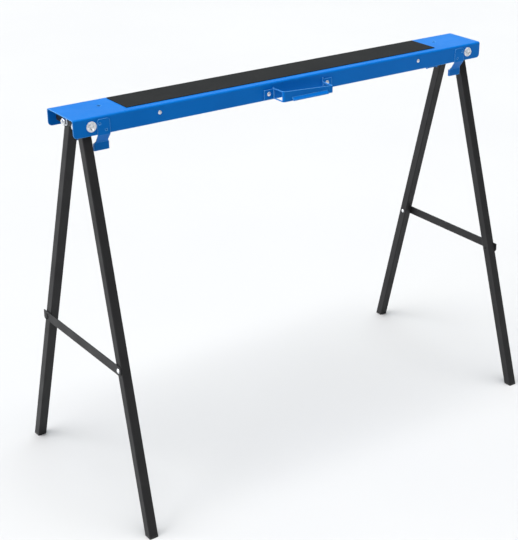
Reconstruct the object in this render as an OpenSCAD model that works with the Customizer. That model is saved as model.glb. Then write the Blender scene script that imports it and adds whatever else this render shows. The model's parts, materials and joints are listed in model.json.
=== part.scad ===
// Folding steel sawhorse: an inverted channel beam on two pairs of square tube legs.
// Each pair hangs in a zinc-plated yoke that swings up under the beam, and its legs close as it folds.
// X runs along the beam, +Z is up, and the floor is z = 0.

/* [Beam] */
// Length of the beam
beam_l = 1000; // [980:10:1060]
// Width of the beam
beam_w = 100; // [98:1:104]
// Height of the beam's top above the floor
beam_top = 780; // [740:10:820]
// Depth of the channel's flanges
beam_depth = 34.5; // [33:0.5:38]
// Thickness of the channel's sheet
sheet = 1.5; // [1.2:0.1:1.8]
// Outside radius of the channel's bends
bend_r = 4; // [3:0.5:5]
// Radius of the flanges' lower end corners
corner_r = 8; // [4:1:12]

/* [Legs] */
// Width across the square leg tube
tube_w = 19; // [18:0.5:19.5]
// Wall thickness of the leg tube
tube_wall = 1.2; // [1:0.1:2]
// Radius of the leg tube's corners
tube_r = 2; // [1.5:0.5:3]
// How far the feet of a pair stand apart
foot_spread = 473.4; // [420:10:520]
// How far the feet stand outside the tops of the legs, along the beam
foot_out = 22.5; // [10:0.5:30]
// Thickness of the plastic foot under each tube
foot_t = 4; // [3:0.5:6]

/* [Braces] */
// Height of the brace above the floor
brace_z = 320; // [280:10:360]
// Depth of the brace strip
brace_w = 19; // [16:1:20]
// Thickness of the brace strip
brace_t = 2; // [1.5:0.5:2.5]

/* [Top] */
// Length of the rubber strip
pad_l = 762; // [700:10:800]
// Thickness of the rubber strip
pad_t = 1.2; // [1:0.2:2]
// Distance between the two work-stop holes
hole_gap = 831; // [810:1:850]
// Diameter of the work-stop holes
hole_d = 8; // [6:0.5:9]

/* [Handle] */
// Distance between the handle's rivets
handle_rivets_gap = 145; // [140:1:150]
// Height of the handle's steel strip
handle_h = 23; // [18:1:24]
// How far the grip stands out from the beam
handle_out = 36; // [30:1:40]

/* [Hidden] */
$fn = 48;

half_w = beam_w / 2;
inner_y = half_w - sheet;
flange_z = beam_top - beam_depth;

// Fold pivots, in the flanges
pivot_x = 463.5;
pivot_z = beam_top - 17;
pivot_r = 4;
fit = 0.05;

// Leg bolts, in the yoke's web. The pair's centre is off the beam's, so that the two pairs fold side by side.
pair_offset = 10;
bolt_gap = 41;
bolt_x = 470.5;
bolt_z = beam_top - 18;
bolt_r = 4;
leg_top = 9;

// Lean of a leg across the beam, and its tilt along the beam
lean = atan((foot_spread - bolt_gap) / 2 / bolt_z);
leg_l = sqrt(pow(bolt_z, 2) + pow((foot_spread - bolt_gap) / 2, 2) + pow(foot_out, 2));
tilt = asin(foot_out / leg_l);
plane_tilt = atan(foot_out / bolt_z);

// Yoke
yoke_t = 2;
ear_y = inner_y - 0.3;
web_x = bolt_x + tube_w / 2 + 1.3;
ear_r = 10;
web_z0 = -6.5;
web_z1 = 7;

// Distance from a leg's bolt to the brace's rivet or stud, measured along the leg
brace_s = (bolt_z - brace_z) / (cos(lean) * cos(tilt));
brace_x = tube_w / 2 + 0.3;
brace_span = bolt_gap + 2 * brace_s * cos(tilt) * sin(lean);
stud_r = 3.5;
notch_r = 5;

// Clips, latches and handle
clip_x = 320;
clip_z = beam_top - 15.7;
latch_x = 438.8;
latch_t = 1.2;
latch_w = 26;
pad_y0 = -33.7;
pad_y1 = 43;
hole_y = 8;
handle_z = beam_top - 21.5;
handle_rivet_z = beam_top - 22;
handle_t = 2;

// Square outline with rounded corners
module rounded_square(w, r) {
    square([w, w - 2 * r], center = true);
    square([w - 2 * r, w], center = true);
    for (x = [-1, 1], y = [-1, 1])
        translate([x * (w / 2 - r), y * (w / 2 - r)]) circle(r);
}

// Rectangle from a low corner to a high corner with four rounded corners
module rounded_rect(x0, y0, x1, y1, r) {
    translate([x0 + r, y0]) square([x1 - x0 - 2 * r, y1 - y0]);
    translate([x0, y0 + r]) square([x1 - x0, y1 - y0 - 2 * r]);
    for (x = [x0 + r, x1 - r], y = [y0 + r, y1 - r]) translate([x, y]) circle(r);
}

// Outline of the beam's top and flanges, drawn with y across and z up
module channel_outline(inset, low) {
    r = bend_r - inset;
    w = half_w - inset;
    top = beam_top - inset;
    translate([-w, low]) square([2 * w, top - r - low]);
    translate([-w + r, low]) square([2 * (w - r), top - low]);
    for (y = [-1, 1]) translate([y * (w - r), top - r]) circle(r);
}

// Extrudes a y-z outline along x, centred
module along_x(length) {
    rotate([90, 0, 90]) translate([0, 0, -length / 2]) linear_extrude(length) children();
}

// Extrudes an x-z outline along y, from y0 towards +y
module along_y(y0, length) {
    translate([0, y0 + length, 0]) rotate([90, 0, 0]) linear_extrude(length) children();
}

// Cylinder along y, from y0 towards +y
module pin_y(x, y0, z, r, length) {
    translate([x, y0 + length, z]) rotate([90, 0, 0]) cylinder(r = r, h = length);
}

// Cylinder along x, from x0 towards +x
module pin_x(x0, y, z, r, length) {
    translate([x0, y, z]) rotate([0, 90, 0]) cylinder(r = r, h = length);
}

// Low dome that stands on a face at the origin and points along +z
module dome(r, h) {
    ball = (r * r + h * h) / (2 * h);
    intersection() {
        translate([0, 0, h - ball]) sphere(ball);
        cylinder(r = r, h = h);
    }
}

// Quarter piece that rounds a flange's lower end corner, cut through both flanges
module corner_cut(side) {
    difference() {
        translate([side > 0 ? beam_l / 2 - corner_r : -beam_l / 2 - 1, -half_w - 1, flange_z - 1])
            cube([corner_r + 1, beam_w + 2, corner_r + 1]);
        pin_y(side * (beam_l / 2 - corner_r), -half_w - 2, flange_z + corner_r, corner_r, beam_w + 4);
    }
}

module beam() {
    color("dodgerblue")
    difference() {
        along_x(beam_l) channel_outline(0, flange_z);
        along_x(beam_l + 2) channel_outline(sheet, flange_z - 1);
        for (side = [-1, 1]) {
            corner_cut(side);
            pin_y(side * pivot_x, -half_w - 1, pivot_z, pivot_r + 0.3, beam_w + 2);
            pin_y(side * clip_x, -half_w - 1, clip_z, 2.1, beam_w + 2);
            pin_y(side * handle_rivets_gap / 2, -half_w - 1, handle_rivet_z, 2.6, sheet + 2);
            translate([side * hole_gap / 2, hole_y, beam_top - sheet - 1])
                cylinder(d = hole_d, h = sheet + 2);
        }
    }
}

module work_pad() {
    color("dimgray")
    translate([0, 0, beam_top]) linear_extrude(pad_t)
        rounded_rect(-pad_l / 2, pad_y0, pad_l / 2, pad_y1, 1.5);
}

// Outline of the handle's bent strip seen from above, with y towards the grip
module handle_plan() {
    arm = handle_rivets_gap / 2 - 10.5;
    tab = handle_rivets_gap / 2 + 11.5;
    bend = 4;
    difference() {
        rounded_rect(-arm, -handle_out, arm, bend * 3, bend);
        rounded_rect(-arm + handle_t, -handle_out + handle_t, arm - handle_t, bend * 4, bend - handle_t);
        translate([-arm - 1, 0]) square([2 * arm + 2, bend * 5]);
    }
    for (side = [-1, 1]) translate([side > 0 ? arm - handle_t : -tab, -handle_t])
        square([tab - arm + handle_t, handle_t]);
}

module carry_handle() {
    arm = handle_rivets_gap / 2 - 10.5;
    lip_x0 = -41;
    lip_l = 87;
    low = handle_z - handle_h / 2;
    color("dodgerblue")
    difference() {
        union() {
            translate([0, -half_w, low]) linear_extrude(handle_h) handle_plan();
            // Lip flared outwards along the lower edge of the grip
            translate([lip_x0 + lip_l / 2, -half_w - handle_out, low]) along_x(lip_l)
                polygon([[1, 6], [0, 7.6], [-5.8, 2.8], [-5.8, 1], [-4.6, 0.4], [1, 4.8]]);
        }
        // The grip's upper edge slopes down towards the right arm
        translate([0, -half_w - handle_out - 1, low]) along_y(0, handle_out - handle_t + 1)
            polygon([[-arm - 1, 21.6], [arm + 1, 14.5], [arm + 1, handle_h + 1], [-arm - 1, handle_h + 1]]);
        // The arms are open frames
        for (side = [-1, 1]) {
            translate([side * arm - 5, -half_w - handle_out + 4.5, low + 2])
                cube([10, handle_out - 8.5, side > 0 ? handle_h - 12.8 : handle_h - 5.2]);
            pin_y(side * handle_rivets_gap / 2, -half_w - handle_t - 1, handle_rivet_z, 2.6, handle_t + 1.5);
            // The tabs are a little lower than the grip
            translate([side > 0 ? arm + 0.5 : -arm - 25.5, -half_w - 4, low + handle_h - 3]) cube([25, 5, 4]);
        }
    }
}

module handle_rivets() {
    color("silver")
    for (side = [-1, 1]) {
        x = side * handle_rivets_gap / 2;
        pin_y(x, -half_w - handle_t, handle_rivet_z, 2.5, handle_t + sheet);
        translate([x, -half_w - handle_t, handle_rivet_z]) rotate([90, 0, 0]) dome(4.6, 2);
        pin_y(x, -inner_y, handle_rivet_z, 4, 1.6);
    }
}

// Spring latch in its own frame: plate on the flange's outer face at y = 0, tongue bent in below it.
// The outer face looks along -y and the flange's lower edge is at z = 0.
module latch_side() {
    knee_z = -18;
    foot_z = -34;
    foot_y = 12.5;
    polygon([[0, 29], [-latch_t, 29], [-latch_t, -1.4], [foot_y - latch_t, knee_z - 0.9],
        [foot_y - latch_t, foot_z], [foot_y, foot_z], [foot_y, knee_z], [0, -0.8]]);
}

// Outline of the latch seen from the front: rounded top, waist and flared foot
module latch_front() {
    top_r = 6;
    half = latch_w / 2;
    foot_half = 15.3;
    translate([-half, 0]) square([latch_w, 29 - top_r]);
    translate([-half + top_r, 0]) square([latch_w - 2 * top_r, 29]);
    for (x = [-1, 1]) translate([x * (half - top_r), 29 - top_r]) circle(top_r);
    polygon([[-half, 0], [half, 0], [half - 0.8, -15], [foot_half, -19.5], [foot_half, -34],
        [-foot_half, -34], [-foot_half, -19.5], [-half + 0.8, -15]]);
}

module latch() {
    ear_l = 14;
    difference() {
        union() {
            intersection() {
                along_x(60) latch_side();
                along_y(-10, 40) latch_front();
            }
            // Ears that stiffen the foot
            for (side = [-1, 1]) translate([side * 14.6 - 0.7, 12, -34]) cube([1.4, 4, ear_l]);
        }
        // Weld dimples
        pin_y(-7.8, -latch_t - 1, 20.3, 2.4, 1.7);
        pin_y(5, -latch_t - 1, 7.2, 2.4, 1.7);
    }
}

// Places a latch at an end of the beam: side is -1 left or 1 right, row is -1 front or 1 rear
module at_latch(side, row) {
    translate([side * latch_x, row * (half_w + 0.1), flange_z])
        mirror([0, row > 0 ? 1 : 0, 0]) mirror([side > 0 ? 1 : 0, 0, 0]) latch();
}

module front_left_latch() {
    color("dodgerblue") at_latch(-1, -1);
}

module front_right_latch() {
    color("dodgerblue") at_latch(1, -1);
}

module rear_left_latch() {
    color("dodgerblue") at_latch(-1, 1);
}

module rear_right_latch() {
    color("dodgerblue") at_latch(1, 1);
}

// Storage clip in its own frame: a leaf on the flange's inner face with a bump at its lower end
module clip_leaf() {
    t = 1;
    along_x(12)
        polygon([[0, 8], [t, 8], [t, -12.5], [t + 3, -15], [t, -17.5], [0, -17.5], [3, -15], [0, -12.5]]);
}

module leg_clips() {
    color("lightgray")
    for (side = [-1, 1], row = [-1, 1])
        translate([side * clip_x, row * inner_y, clip_z]) mirror([0, row > 0 ? 1 : 0, 0])
            difference() {
                clip_leaf();
                pin_y(0, -1, 0, 2.1, 4);
            }
}

module clip_rivets() {
    color("silver")
    for (side = [-1, 1], row = [-1, 1])
        translate([side * clip_x, row * half_w, clip_z]) mirror([0, row > 0 ? 1 : 0, 0]) {
            rotate([90, 0, 0]) dome(4, 1.8);
            pin_y(0, 0, 0, 2, sheet + 1);
            pin_y(0, sheet + 1, 0, 3.4, 1.2);
        }
}

module pivot_bolts() {
    color("silver")
    for (side = [-1, 1], row = [-1, 1])
        translate([side * pivot_x, row * half_w, pivot_z]) mirror([0, row > 0 ? 1 : 0, 0]) {
            rotate([90, 0, 0]) cylinder(r = 10, h = 1.4);
            rotate([90, 0, 0]) cylinder(r = 8.6, h = 2.4);
            // Hexagon head with a forged hollow in its face
            difference() {
                rotate([90, 0, 0]) cylinder(r = 7.3, h = 6, $fn = 6);
                rotate([90, 0, 0]) translate([0, 0, 3.6]) cylinder(r1 = 3, r2 = 5.4, h = 2.6);
            }
            pin_y(0, -0.2, 0, pivot_r, 5.6);
        }
}

module pivot_retainers() {
    color("silver")
    for (side = [-1, 1], row = [-1, 1])
        translate([side * pivot_x, row * (ear_y - yoke_t - 0.2), pivot_z]) mirror([0, row > 0 ? 1 : 0, 0])
            difference() {
                pin_y(0, 0, 0, 6.5, 1.1);
                pin_y(0, -1, 0, pivot_r + 0.02, 4);
            }
}

// Draws its children once for each leg of an end, at the leg's bolt. Side is -1 left or 1 right.
module at_bolts(side) {
    for (row = [-1, 1])
        translate([side * bolt_x, side * pair_offset + row * bolt_gap / 2, bolt_z]) children();
}

// The yoke of an end: a web across the channel outside the legs, and an ear on each flange
module yoke(side) {
    drop = bolt_z - pivot_z;
    out = side * (web_x + yoke_t / 2);
    difference() {
        union() {
            translate([out - yoke_t / 2, -ear_y, bolt_z + web_z0]) cube([yoke_t, 2 * ear_y, web_z1 - web_z0]);
            // Stop that meets the underside of the beam's top when the legs are down
            translate([out - yoke_t / 2, side * 18 - 11, bolt_z])
                cube([yoke_t, 22, beam_top - sheet - 0.2 - bolt_z]);
            for (row = [-1, 1]) {
                y0 = row > 0 ? ear_y - yoke_t : -ear_y;
                translate([min(out, side * pivot_x) - yoke_t / 2 * (side < 0 ? 1 : 0), y0, bolt_z + web_z0])
                    cube([abs(out - side * pivot_x) + yoke_t / 2, yoke_t, web_z1 - web_z0]);
                pin_y(side * pivot_x, y0, pivot_z, ear_r, yoke_t);
            }
        }
        pin_y(side * pivot_x, -beam_w, pivot_z, pivot_r + fit, 2 * beam_w);
        at_bolts(side) pin_x(-20, 0, 0, bolt_r + 0.02, 40);
        // Drain hole between the rear leg and the flange of the wider gap
        pin_x(out - 5, -side * 32, bolt_z - 1, 2.6, 10);
    }
}

// Carriage bolts from the inner side of the legs out through the web
module leg_bolts(side) {
    head = bolt_x - tube_w / 2 - 0.8;
    at_bolts(side) mirror([side < 0 ? 1 : 0, 0, 0]) {
        pin_x(head - bolt_x, 0, 0, bolt_r, web_x + yoke_t + 8.2 - head);
        translate([head - bolt_x, 0, 0]) rotate([0, -90, 0]) dome(8, 3.4);
    }
}

module leg_nuts(side) {
    at_bolts(side) mirror([side < 0 ? 1 : 0, 0, 0])
        translate([web_x + yoke_t - bolt_x, 0, 0]) rotate([0, 90, 0])
        difference() {
            union() {
                cylinder(r = 8.4, h = 1.4);
                intersection() {
                    cylinder(r = 7.5, h = 6.5, $fn = 6);
                    translate([0, 0, -4]) sphere(12);
                }
            }
            translate([0, 0, -1]) cylinder(r = bolt_r + 0.02, h = 10);
        }
}

module leg_washers(side) {
    at_bolts(side) mirror([side < 0 ? 1 : 0, 0, 0]) translate([web_x - 0.9 - bolt_x, 0, 0]) rotate([0, 90, 0])
        difference() {
            cylinder(r = 8, h = 0.9);
            translate([0, 0, -1]) cylinder(r = bolt_r + fit, h = 4);
        }
}

// Puts its children at a leg's bolt, leaning with the leg but not tilted along the beam
module at_leg(side, row) {
    translate([side * bolt_x, side * pair_offset + row * bolt_gap / 2, bolt_z])
        rotate([row * lean, 0, 0]) children();
}

// Solid bar along the leg, from above the bolt to below the floor
module leg_bar(side, w, r) {
    rotate([0, -side * tilt, 0]) translate([0, 0, -leg_l - 20])
        linear_extrude(leg_l + 20 + leg_top) rounded_square(w, r);
}

// Everything between two heights, wide enough for any leg
module slab(z0, z1) {
    translate([-beam_l, -beam_l, z0]) cube([2 * beam_l, 2 * beam_l, z1 - z0]);
}

// Hollow leg tube. The rivet hole is on the leg that carries the brace.
module leg(side, row) {
    intersection() {
        at_leg(side, row) difference() {
            leg_bar(side, tube_w, tube_r);
            leg_bar_bore(side);
            pin_x(-30, 0, 0, bolt_r + fit, 60);
            rotate([0, -side * tilt, 0]) pin_x(-30, 0, -brace_s, 2.6, 60);
        }
        slab(foot_t, beam_top);
    }
}

// Inside of the leg tube, open at both ends
module leg_bar_bore(side) {
    rotate([0, -side * tilt, 0]) translate([0, 0, -leg_l - 21]) linear_extrude(leg_l + 22 + leg_top)
        rounded_square(tube_w - 2 * tube_wall, tube_r - tube_wall + 0.2);
}

// Plastic foot: a sole with the tube's outline and a plug that reaches up into the tube
module foot(side, row) {
    plug_w = tube_w - 2 * tube_wall - 0.1;
    intersection() {
        at_leg(side, row) leg_bar(side, tube_w, tube_r);
        slab(0, foot_t);
    }
    intersection() {
        at_leg(side, row) leg_bar(side, plug_w, 1);
        slab(foot_t / 2, foot_t + 18);
    }
}

// Brace in its own frame: rivet at the origin, strip along +y, flat on the y-z plane, hook at the far end
module brace_outline() {
    end = brace_span + 13.5;
    half = brace_w / 2;
    difference() {
        polygon(concat([for (a = [90:15:270]) [half * cos(a), half * sin(a)]],
            [[end - 3, -half], [end, -5], [end, half]]));
        translate([brace_span, 0]) circle(notch_r);
        translate([brace_span, 0])
            polygon([[-notch_r, 0], [notch_r, 0], [notch_r - 1, -brace_w],
                [-notch_r - 0.75 * brace_w, -brace_w]]);
        circle(2.6);
    }
}

// Places its children at the brace's rivet hole, on the outer face of the leg that carries the brace.
// The left brace is on the front leg and the right brace is on the rear leg.
module at_brace(side) {
    at_leg(side, side) rotate([0, -side * tilt, 0]) translate([side * brace_x, 0, -brace_s])
        rotate([0, side * tilt, 0]) rotate([-side * lean, 0, 0])
            rotate([0, -side * plane_tilt, 0]) children();
}

module brace(side) {
    at_brace(side) mirror([0, side > 0 ? 1 : 0, 0]) mirror([side < 0 ? 1 : 0, 0, 0])
        rotate([90, 0, 90]) linear_extrude(brace_t) brace_outline();
}

module brace_rivet(side) {
    at_leg(side, side) rotate([0, -side * tilt, 0])
        mirror([side < 0 ? 1 : 0, 0, 0]) translate([0, 0, -brace_s]) {
        pin_x(-tube_w / 2, 0, 0, 2.5, tube_w + brace_t + 0.7);
        translate([-tube_w / 2, 0, 0]) rotate([0, -90, 0]) dome(4.4, 1.6);
        translate([brace_x + brace_t + 0.3, 0, 0]) rotate([0, 90, 0]) dome(5, 2);
    }
}

// Stud for the brace's hook, on the outer face of the other leg
module hook_stud(side) {
    at_leg(side, -side) rotate([0, -side * tilt, 0])
        mirror([side < 0 ? 1 : 0, 0, 0]) translate([0, 0, -brace_s]) {
        pin_x(-tube_w / 2 + tube_wall, 0, 0, 2.5, tube_w - tube_wall);
        pin_x(tube_w / 2, 0, 0, stud_r, brace_t + 1.2);
        translate([tube_w / 2 + brace_t + 1.2, 0, 0]) rotate([0, 90, 0]) dome(4.3, 1.6);
    }
}

beam();
work_pad();
carry_handle();
handle_rivets();
front_left_latch();
front_right_latch();
rear_left_latch();
rear_right_latch();
leg_clips();
clip_rivets();
pivot_bolts();
pivot_retainers();
color("dimgray") yoke(-1);  // left_yoke
color("silver") leg_bolts(-1);  // left_leg_bolts
color("gainsboro") leg_nuts(-1);  // left_leg_nuts
color("silver") leg_washers(-1);  // left_leg_washers
color("dimgray") yoke(1);  // right_yoke
color("silver") leg_bolts(1);  // right_leg_bolts
color("gainsboro") leg_nuts(1);  // right_leg_nuts
color("silver") leg_washers(1);  // right_leg_washers
color("black") leg(-1, -1);  // left_front_leg
color("black") leg(-1, 1);  // left_rear_leg
color("black") leg(1, -1);  // right_front_leg
color("black") leg(1, 1);  // right_rear_leg
color("dimgray") foot(-1, -1);  // left_front_foot
color("dimgray") foot(-1, 1);  // left_rear_foot
color("dimgray") foot(1, -1);  // right_front_foot
color("dimgray") foot(1, 1);  // right_rear_foot
color("black") brace(-1);  // left_brace
color("black") brace(1);  // right_brace
color("silver") brace_rivet(-1);  // left_brace_rivet
color("silver") brace_rivet(1);  // right_brace_rivet
color("black") hook_stud(-1);  // left_hook_stud
color("black") hook_stud(1);  // right_hook_stud
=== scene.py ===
import json
import math
import bpy
from mathutils import Matrix, Vector

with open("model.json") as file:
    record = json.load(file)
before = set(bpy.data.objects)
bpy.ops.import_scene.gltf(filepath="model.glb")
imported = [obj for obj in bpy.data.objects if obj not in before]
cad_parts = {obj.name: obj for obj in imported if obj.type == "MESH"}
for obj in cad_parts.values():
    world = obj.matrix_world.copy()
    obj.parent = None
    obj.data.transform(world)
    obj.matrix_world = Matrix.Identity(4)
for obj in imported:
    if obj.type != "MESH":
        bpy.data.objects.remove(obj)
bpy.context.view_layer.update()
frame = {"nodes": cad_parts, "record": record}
nodes = frame["nodes"]
print("frame loaded,", len(nodes), "parts")


def fromHex(code):
    # sRGB hex to the linear values that shaders use
    parts = [int(code[i:i + 2], 16) / 255 for i in (1, 3, 5)]
    return tuple(v / 12.92 if v < 0.04045 else ((v + 0.055) / 1.055) ** 2.4 for v in parts) + (1.0,)


def addNode(material, kind, links=None, **settings):
    # links: input name or number -> a constant, or another node's output
    tree = material.node_tree
    made = tree.nodes.new(kind)
    for name, value in settings.items():
        setattr(made, name, value)
    for key, value in (links or {}).items():
        if isinstance(value, bpy.types.NodeSocket):
            tree.links.new(value, made.inputs[key])
        else:
            made.inputs[key].default_value = value
    return made


def newMaterial(name, **surface):
    material = bpy.data.materials.new(name)
    material.use_nodes = True
    shader = material.node_tree.nodes["Principled BSDF"]
    for key, value in surface.items():
        shader.inputs[key.replace("_", " ")].default_value = value
    place = addNode(material, "ShaderNodeTexCoord").outputs["Object"]
    return material, shader, place


def spread(material, value, low, high, toLow=0.0, toHigh=1.0):
    # stretches a 0-1 pattern to another range
    return addNode(material, "ShaderNodeMapRange", {
        "Value": value, "From Min": low, "From Max": high, "To Min": toLow, "To Max": toHigh,
    }).outputs["Result"]


def wire(material, output, shader, socket):
    material.node_tree.links.new(output, shader.inputs[socket])


def perMetre(millimetres):
    # pattern scale for one feature every so many millimetres
    return 1000.0 / millimetres


def edgeMask(material, radius):
    # 1 on rounded-over edges, 0 on flat faces; the soft normal also rounds the edges for the light
    soft = addNode(material, "ShaderNodeBevel", {"Radius": radius}, samples=6)
    flat = addNode(material, "ShaderNodeNewGeometry")
    facing = addNode(material, "ShaderNodeVectorMath",
                     {0: soft.outputs["Normal"], 1: flat.outputs["True Normal"]}, operation="DOT_PRODUCT")
    return soft.outputs["Normal"], spread(material, facing.outputs["Value"], 1.0, 0.86)


# Sizes in these settings are in millimetres, except the radius that edges are rounded to, which is in metres.

# Powder-coated sheet steel: sprayed as dry powder and oven-fused, so it is an even coloured plastic film
# with a faint orange peel, a soft gloss, and a lighter azure on rounded edges that is a painted highlight along the
# bends and sheet ends, partly also the thinner coat there
# the edge colour is a painted highlight for rounded edges and bends, partly also the thinner coat there
blueCoat = dict(
    colour="#006cc6", deep="#0066be", edge="#7cc6fb", gloss="#80e8ff", peel=1.6, drift=120, rough=0.34,
    smear=35, wearAndHighlightBreakup=5, round=0.0013)


def makeBlueCoat(name, cfg):
    material, shader, place = newMaterial(name, Roughness=cfg["rough"], IOR=1.5, Specular_IOR_Level=0.2,
                                          Specular_Tint=fromHex(cfg["gloss"]))
    softNormal, edge = edgeMask(material, cfg["round"])
    cloud = addNode(material, "ShaderNodeTexNoise", {"Vector": place, "Scale": perMetre(cfg["drift"]), "Detail": 3.0})
    tone = addNode(material, "ShaderNodeMix", {
        0: spread(material, cloud.outputs[0], 0.3, 0.7), 6: fromHex(cfg["colour"]), 7: fromHex(cfg["deep"]),
    }, data_type="RGBA").outputs[2]
    # noise that breaks up the painted edge highlight and the edge wear
    wearAndHighlightBreakup = addNode(material, "ShaderNodeTexNoise", {"Vector": place, "Scale": perMetre(cfg["wearAndHighlightBreakup"]), "Detail": 4.0})
    edgeHighlightAndWear = addNode(material, "ShaderNodeMath",
                         {0: edge, 1: spread(material, wearAndHighlightBreakup.outputs[0], 0.2, 0.8, 0.7, 1.0)}, operation="MULTIPLY")
    # painted highlight: lighter azure mixed in on rounded edges and bends, partly also the thinner coat at the edges
    colour = addNode(material, "ShaderNodeMix", {0: edgeHighlightAndWear.outputs[0], 6: tone, 7: fromHex(cfg["edge"])},
                     data_type="RGBA").outputs[2]
    wire(material, colour, shader, "Base Color")
    peel = addNode(material, "ShaderNodeTexNoise", {"Vector": place, "Scale": perMetre(cfg["peel"]), "Detail": 2.0})
    bump = addNode(material, "ShaderNodeBump", {
        "Height": peel.outputs[0], "Strength": 0.14, "Distance": 0.00008, "Normal": softNormal})
    wire(material, bump.outputs[0], shader, "Normal")
    smear = addNode(material, "ShaderNodeTexNoise", {
        "Vector": place, "Scale": perMetre(cfg["smear"]), "Detail": 5.0, "Roughness": 0.7})
    gloss = spread(material, smear.outputs[0], 0.25, 0.75, cfg["rough"] - 0.06, cfg["rough"] + 0.09)
    wire(material, gloss, shader, "Roughness")
    return material


# Black powder coat on drawn steel tube: satin, with a visible fine texture from coarser powder
blackCoat = dict(
    colour="#202021", light="#272728", grain=0.9, rough=0.46,
    edge="#5c5f63", cloud=45, rubbed=7, handled=60, round=0.0008)


def makeBlackCoat(name, cfg):
    material, shader, place = newMaterial(name, Roughness=cfg["rough"], IOR=1.5, Specular_IOR_Level=0.22)
    softNormal, edge = edgeMask(material, cfg["round"])
    cloud = addNode(material, "ShaderNodeTexNoise", {"Vector": place, "Scale": perMetre(cfg["cloud"]), "Detail": 4.0})
    tone = addNode(material, "ShaderNodeMix", {
        0: spread(material, cloud.outputs[0], 0.3, 0.7), 6: fromHex(cfg["colour"]), 7: fromHex(cfg["light"]),
    }, data_type="RGBA").outputs[2]
    rubbed = addNode(material, "ShaderNodeTexNoise", {"Vector": place, "Scale": perMetre(cfg["rubbed"]), "Detail": 5.0})
    amount = addNode(material, "ShaderNodeMath",
                     {0: edge, 1: spread(material, rubbed.outputs[0], 0.35, 0.8, 0.1, 0.75)}, operation="MULTIPLY")
    colour = addNode(material, "ShaderNodeMix", {0: amount.outputs[0], 6: tone, 7: fromHex(cfg["edge"])},
                     data_type="RGBA").outputs[2]
    wire(material, colour, shader, "Base Color")
    grain = addNode(material, "ShaderNodeTexNoise", {"Vector": place, "Scale": perMetre(cfg["grain"]), "Detail": 2.0})
    bump = addNode(material, "ShaderNodeBump", {
        "Height": grain.outputs[0], "Strength": 0.3, "Distance": 0.0001, "Normal": softNormal})
    wire(material, bump.outputs[0], shader, "Normal")
    handled = addNode(material, "ShaderNodeTexNoise", {
        "Vector": place, "Scale": perMetre(cfg["handled"]), "Detail": 4.0})
    gloss = spread(material, handled.outputs[0], 0.3, 0.7, cfg["rough"] - 0.07, cfg["rough"] + 0.1)
    wire(material, gloss, shader, "Roughness")
    return material


# Friction strip of moulded rubber: matte charcoal with a close pebble and a few scuffed, dusty patches
padRubber = dict(
    colour="#1c1c1c", dust="#343332", pebble=1.5, rough=0.85, speck=2.4, patch=70)


def makePadRubber(name, cfg):
    material, shader, place = newMaterial(name, Roughness=cfg["rough"], IOR=1.5, Specular_IOR_Level=0.15)
    # the real pebble is about 0.7 mm, drawn coarser so that it shows
    pebble = addNode(material, "ShaderNodeTexVoronoi", {"Vector": place, "Scale": perMetre(cfg["pebble"])})
    speck = addNode(material, "ShaderNodeTexNoise", {
        "Vector": place, "Scale": perMetre(cfg["speck"]), "Detail": 6.0, "Roughness": 0.75})
    patch = addNode(material, "ShaderNodeTexNoise", {"Vector": place, "Scale": perMetre(cfg["patch"]), "Detail": 4.0})
    mixAmount = addNode(material, "ShaderNodeMath", {
        0: spread(material, speck.outputs[0], 0.42, 0.68, 0.0, 0.8),
        1: spread(material, patch.outputs[0], 0.3, 0.7, 0.45, 1.0)}, operation="MULTIPLY")
    colour = addNode(material, "ShaderNodeMix", {
        0: mixAmount.outputs[0], 6: fromHex(cfg["colour"]), 7: fromHex(cfg["dust"])}, data_type="RGBA").outputs[2]
    wire(material, colour, shader, "Base Color")
    bump = addNode(material, "ShaderNodeBump", {
        "Height": pebble.outputs["Distance"], "Strength": 0.5, "Distance": 0.00025})
    wire(material, bump.outputs[0], shader, "Normal")
    gloss = spread(material, speck.outputs[0], 0.3, 0.7, cfg["rough"] - 0.1, cfg["rough"] + 0.08)
    wire(material, gloss, shader, "Roughness")
    return material


# Bright zinc plate on turned and pressed steel: cool silver, fine drawn lines and a milky bloom in places
zincPlate = dict(
    colour="#f2f3f5", bloom="#d2d5d9", rough=0.38, bloomSize=4, crystal=0.8, round=0.0005)


def makeZincPlate(name, cfg):
    material, shader, place = newMaterial(name, Metallic=0.9, Roughness=cfg["rough"])
    softNormal = edgeMask(material, cfg["round"])[0]
    bloom = addNode(material, "ShaderNodeTexNoise", {
        "Vector": place, "Scale": perMetre(cfg["bloomSize"]), "Detail": 5.0})
    colour = addNode(material, "ShaderNodeMix", {
        0: spread(material, bloom.outputs[0], 0.35, 0.7), 6: fromHex(cfg["colour"]), 7: fromHex(cfg["bloom"]),
    }, data_type="RGBA").outputs[2]
    wire(material, colour, shader, "Base Color")
    crystals = addNode(material, "ShaderNodeTexVoronoi", {"Vector": place, "Scale": perMetre(cfg["crystal"])})
    bump = addNode(material, "ShaderNodeBump", {
        "Height": crystals.outputs["Distance"], "Strength": 0.1, "Distance": 0.00006, "Normal": softNormal})
    wire(material, bump.outputs[0], shader, "Normal")
    gloss = spread(material, bloom.outputs[0], 0.3, 0.75, cfg["rough"] - 0.07, cfg["rough"] + 0.14)
    wire(material, gloss, shader, "Roughness")
    return material


# Bare hardened spring steel: blue-grey, satin, with rolling lines along the strip
springSteel = dict(
    colour="#8f949b", rough=0.34, dark="#6f757d", line=0.6, lineLength=14, round=0.0004)


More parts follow.
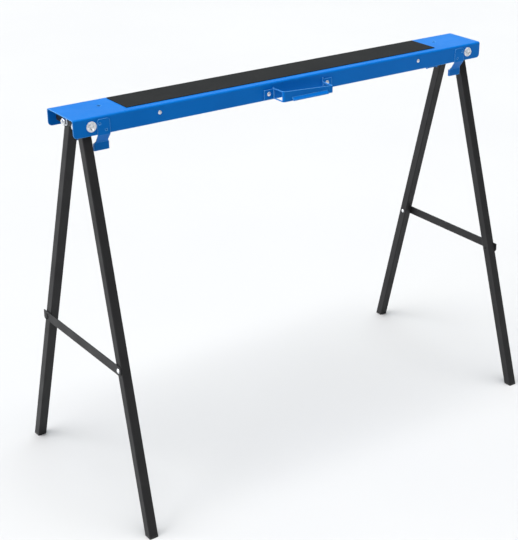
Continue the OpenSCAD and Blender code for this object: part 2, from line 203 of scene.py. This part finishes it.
def makeSpringSteel(name, cfg):
    material, shader, place = newMaterial(name, Metallic=1.0, Roughness=cfg["rough"])
    softNormal = edgeMask(material, cfg["round"])[0]
    stretch = addNode(material, "ShaderNodeMapping", {
        "Vector": place, "Scale": (perMetre(cfg["line"]), perMetre(cfg["line"]), perMetre(cfg["lineLength"]))})
    lines = addNode(material, "ShaderNodeTexNoise", {"Vector": stretch.outputs[0], "Scale": 1.0, "Detail": 3.0})
    colour = addNode(material, "ShaderNodeMix", {
        0: spread(material, lines.outputs[0], 0.3, 0.7), 6: fromHex(cfg["colour"]), 7: fromHex(cfg["dark"]),
    }, data_type="RGBA").outputs[2]
    wire(material, colour, shader, "Base Color")
    bump = addNode(material, "ShaderNodeBump", {
        "Height": lines.outputs[0], "Strength": 0.15, "Distance": 0.00005, "Normal": softNormal})
    wire(material, bump.outputs[0], shader, "Normal")
    gloss = spread(material, lines.outputs[0], 0.3, 0.7, cfg["rough"] - 0.08, cfg["rough"] + 0.1)
    wire(material, gloss, shader, "Roughness")
    return material


# Injection-moulded polyethylene: slightly waxy black, spark-eroded grain, scuffed on the sole
mouldedPlastic = dict(
    colour="#141516", scuff="#3c3d3f", rough=0.55, scuffSize=3, grain=0.5)


def makeMouldedPlastic(name, cfg):
    material, shader, place = newMaterial(name, Roughness=cfg["rough"], IOR=1.5)
    scuff = addNode(material, "ShaderNodeTexNoise", {
        "Vector": place, "Scale": perMetre(cfg["scuffSize"]), "Detail": 6.0, "Roughness": 0.7})
    colour = addNode(material, "ShaderNodeMix", {
        0: spread(material, scuff.outputs[0], 0.5, 0.75, 0.0, 0.7), 6: fromHex(cfg["colour"]), 7: fromHex(cfg["scuff"]),
    }, data_type="RGBA").outputs[2]
    wire(material, colour, shader, "Base Color")
    grain = addNode(material, "ShaderNodeTexNoise", {"Vector": place, "Scale": perMetre(cfg["grain"]), "Detail": 2.0})
    bump = addNode(material, "ShaderNodeBump", {"Height": grain.outputs[0], "Strength": 0.3, "Distance": 0.0001})
    wire(material, bump.outputs[0], shader, "Normal")
    gloss = spread(material, scuff.outputs[0], 0.3, 0.7, cfg["rough"] - 0.1, cfg["rough"] + 0.12)
    wire(material, gloss, shader, "Roughness")
    return material


finishes = {
    "blue_paint": makeBlueCoat("bluePowderCoatedSteel", blueCoat),
    "pad_rubber": makePadRubber("mouldedPadRubber", padRubber),
    "black_coat": makeBlackCoat("blackPowderCoatedTube", blackCoat),
    "foot_plastic": makeMouldedPlastic("mouldedPolyethylene", mouldedPlastic),
    "zinc": makeZincPlate("brightZincPlatedSteel", zincPlate),
    "spring_steel": makeSpringSteel("hardenedSpringSteel", springSteel),
}
print("materials made")

for part in frame["record"]["subparts"]:
    mesh = nodes[part["node"]].data
    mesh.materials.clear()
    mesh.materials.append(finishes[part["material_slot"]])
print("parts finished")

# Studio: pale floor, a wide soft light overhead, a broad one from the left end, a cool one behind, a weak one in front
studio = dict(
    floor="#c8c8c8", haze="#c6c6c7", size=30.0, world="#ffffff", worldStrength=0.06, wallStrength=0.95)


def addFloor(cfg):
    mesh = bpy.data.meshes.new("studioFloor")
    size = cfg["size"]
    mesh.from_pydata([(-size, -size, 0), (size, -size, 0), (size, size, 0), (-size, size, 0)], [], [(0, 1, 2, 3)])
    floor = bpy.data.objects.new("studioFloor", mesh)
    bpy.context.collection.objects.link(floor)
    material, shader, place = newMaterial("paintedStudioFloor", Roughness=0.85, IOR=1.4)
    haze = addNode(material, "ShaderNodeTexNoise", {"Vector": place, "Scale": 1.2, "Detail": 2.0})
    colour = addNode(material, "ShaderNodeMix", {
        0: spread(material, haze.outputs[0], 0.3, 0.7), 6: fromHex(cfg["floor"]), 7: fromHex(cfg["haze"]),
    }, data_type="RGBA").outputs[2]
    wire(material, colour, shader, "Base Color")
    mesh.materials.append(material)


def addLight(name, heading, height, strength, softness, tint="#ffffff"):
    # a very large, far softbox: heading from +X towards +Y and height above the horizon, in degrees
    data = bpy.data.lights.new(name, "SUN")
    data.energy, data.angle = strength, math.radians(softness)
    data.color = fromHex(tint)[:3]
    light = bpy.data.objects.new(name, data)
    turn, lift = math.radians(heading), math.radians(height)
    towards = Vector((math.cos(turn) * math.cos(lift), math.sin(turn) * math.cos(lift), math.sin(lift)))
    light.rotation_euler = towards.to_track_quat("Z", "Y").to_euler()
    bpy.context.collection.objects.link(light)


addFloor(studio)
addLight("overheadSoftbox", -90, 87, 3.5, 45)
addLight("leftSoftbox", 166, 26, 3.3, 70)
addLight("backSoftbox", 52, 30, 0.5, 60, "#cdf1ff")
addLight("frontSoftbox", -75, 22, 0.18, 70)

world = bpy.data.worlds.new("studioWorld")
world.use_nodes = True
backdrop = world.node_tree.nodes["Background"]
backdrop.inputs["Color"].default_value = fromHex(studio["world"])
# the wall behind is seen pale, and gives the object only a weak fill
seen = addNode(world, "ShaderNodeLightPath")
fill = spread(world, seen.outputs["Is Camera Ray"], 0.0, 1.0, studio["worldStrength"], studio["wallStrength"])
wire(world, fill, backdrop, "Strength")
bpy.context.scene.world = world
bpy.context.scene.view_settings.view_transform = "Standard"
print("studio lit")

# Camera in front of the left end, above the beam
view = dict(
    heading=37.849, down=24.283, roll=0.666, place=(-1.4973, -2.0690, 1.4791), lens=86.11, shift=(-0.1206, 0.0112))


def addCamera(cfg):
    heading, down, roll = (math.radians(cfg[k]) for k in ("heading", "down", "roll"))
    ahead = Vector((math.sin(heading) * math.cos(down), math.cos(heading) * math.cos(down), -math.sin(down)))
    right = ahead.cross(Vector((0, 0, 1))).normalized()
    up = right.cross(ahead)
    right, up = math.cos(roll) * right + math.sin(roll) * up, math.cos(roll) * up - math.sin(roll) * right
    data = bpy.data.cameras.new("camera")
    data.sensor_width = 36
    data.lens = cfg["lens"]
    data.shift_x, data.shift_y = cfg["shift"]
    data.clip_end = 100
    camera = bpy.data.objects.new("camera", data)
    camera.matrix_world = Matrix.Translation(cfg["place"]) @ Matrix((right, up, -ahead)).transposed().to_4x4()
    bpy.context.collection.objects.link(camera)
    bpy.context.scene.camera = camera


addCamera(view)
print("camera placed")
